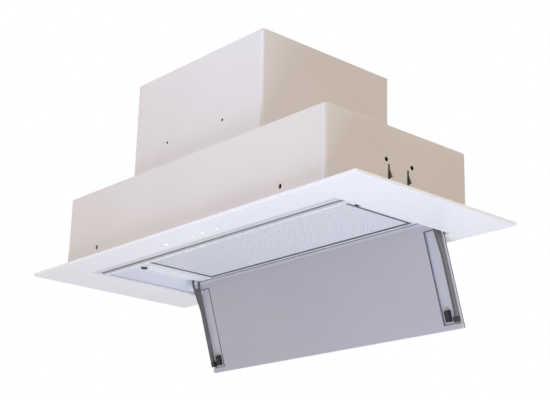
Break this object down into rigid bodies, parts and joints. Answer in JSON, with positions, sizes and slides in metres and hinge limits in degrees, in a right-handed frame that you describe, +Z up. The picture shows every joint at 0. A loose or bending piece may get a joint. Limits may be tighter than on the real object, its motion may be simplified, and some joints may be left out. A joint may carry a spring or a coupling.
{
  "type": "built-in range hood",
  "caption": "Built-in range hood with a white glass flange, a hinged flap under a recessed filter, light strips, a blower and a duct collar with non-return dampers.",
  "frame": {"origin": "centre of the flange's upper face, which bears on the cupboard's underside round the cut-out", "axes": "+Z up out of the flange into the cupboard, -Y towards the user, where the touch marks are, +X to the right seen from the front"},
  "size_m": [0.9, 0.3821, 0.541],
  "materials": {
    "white_glass": "gloss",
    "white_trim": "satin",
    "dark_seal": "matte",
    "zinc_sheet": "satin",
    "painted_housing": "satin",
    "spring_steel": "satin",
    "filter_aluminium": "satin",
    "light_lens": "frosted",
    "white_plastic": "matte",
    "black_plastic": "matte",
    "arm_steel": "satin",
    "bright_steel": "polished",
    "fan_steel": "satin",
    "motor_case": "satin",
    "circuit_board": "matte"
  },
  "bodies": {
    "housing": {"flange_glass": "white_glass", "grip_rail": "white_trim", "liner_tray": "white_trim", "grip_seal": "dark_seal", "opening_seal": "dark_seal", "motor_grommets": "dark_seal", "bottom_frame": "zinc_sheet", "left_clip_plate": "zinc_sheet", "right_clip_plate": "zinc_sheet", "left_scroll_half": "zinc_sheet", "right_scroll_half": "zinc_sheet", "motor_bracket": "zinc_sheet", "lower_housing": "painted_housing", "upper_housing": "painted_housing", "top_plate": "painted_housing", "filter_frame": "filter_aluminium", "filter_skin": "filter_aluminium", "filter_core": "filter_aluminium", "left_light_module": "filter_aluminium", "right_light_module": "filter_aluminium", "left_light_lens": "light_lens", "right_light_lens": "light_lens", "touch_marks": "light_lens", "left_hinge_bracket": "white_plastic", "right_hinge_bracket": "white_plastic", "touch_cover": "white_plastic", "control_box": "white_plastic", "control_box_lid": "white_plastic", "terminal_block": "white_plastic", "flap_sensors": "black_plastic", "duct_collar": "black_plastic", "cable_gland": "black_plastic", "capacitor": "black_plastic", "motor_lead": "black_plastic", "touch_lead": "black_plastic", "hinge_pins": "bright_steel", "hinge_screws": "bright_steel", "scroll_screws": "bright_steel", "motor_screws": "bright_steel", "damper_pin": "bright_steel", "collar_screws": "bright_steel", "seam_screws": "bright_steel", "frame_screws": "bright_steel", "motor": "motor_case", "touch_board": "circuit_board", "power_board": "circuit_board"},
    "flap": {"flap_glass": "white_glass", "flap_inner_panel": "white_trim", "left_arm": "arm_steel", "right_arm": "arm_steel", "eye_bushes": "white_plastic", "arm_caps": "black_plastic", "flap_bumpers": "black_plastic"},
    "fan": {"impeller": "fan_steel", "motor_shaft": "bright_steel"},
    "front_damper": {"front_damper": "fan_steel"},
    "rear_damper": {"rear_damper": "fan_steel"},
    "latch": {"filter_latch": "black_plastic"},
    "left_clip": {"left_spring_clip": "spring_steel"},
    "right_clip": {"right_spring_clip": "spring_steel"}
  },
  "joints": [
    {"name": "flap_hinge", "type": "hinge", "parent": "housing", "child": "flap", "pos_m": [0, 0.125, 0.009], "axis": [-1, 0, 0], "range_deg": [0, 107.8]},
    {"name": "fan_spin", "type": "hinge", "parent": "housing", "child": "fan", "pos_m": [0, -0.044, 0.15], "axis": [1, 0, 0], "continuous": true},
    {"name": "front_damper_swing", "type": "hinge", "parent": "housing", "child": "front_damper", "pos_m": [0, 0.00875, 0.3494], "axis": [-1, 0, 0], "range_deg": [0, 75]},
    {"name": "rear_damper_swing", "type": "hinge", "parent": "housing", "child": "rear_damper", "pos_m": [0, 0.00875, 0.3494], "axis": [1, 0, 0], "range_deg": [0, 75]},
    {"name": "latch_slide", "type": "slide", "parent": "housing", "child": "latch", "axis": [0, 1, 0], "range_m": [0, 0.003], "stiffness_N_per_m": 400, "springref_m": -0.001},
    {"name": "left_clip_bend", "type": "hinge", "parent": "housing", "child": "left_clip", "pos_m": [-0.3597, 0, 0.074], "axis": [0, -1, 0], "range_deg": [0, 18], "stiffness_Nm_per_rad": 1.8, "springref_deg": -1.15},
    {"name": "right_clip_bend", "type": "hinge", "parent": "housing", "child": "right_clip", "pos_m": [0.3597, 0, 0.074], "axis": [0, 1, 0], "range_deg": [0, 18], "stiffness_Nm_per_rad": 1.8, "springref_deg": -1.15}
  ]
}
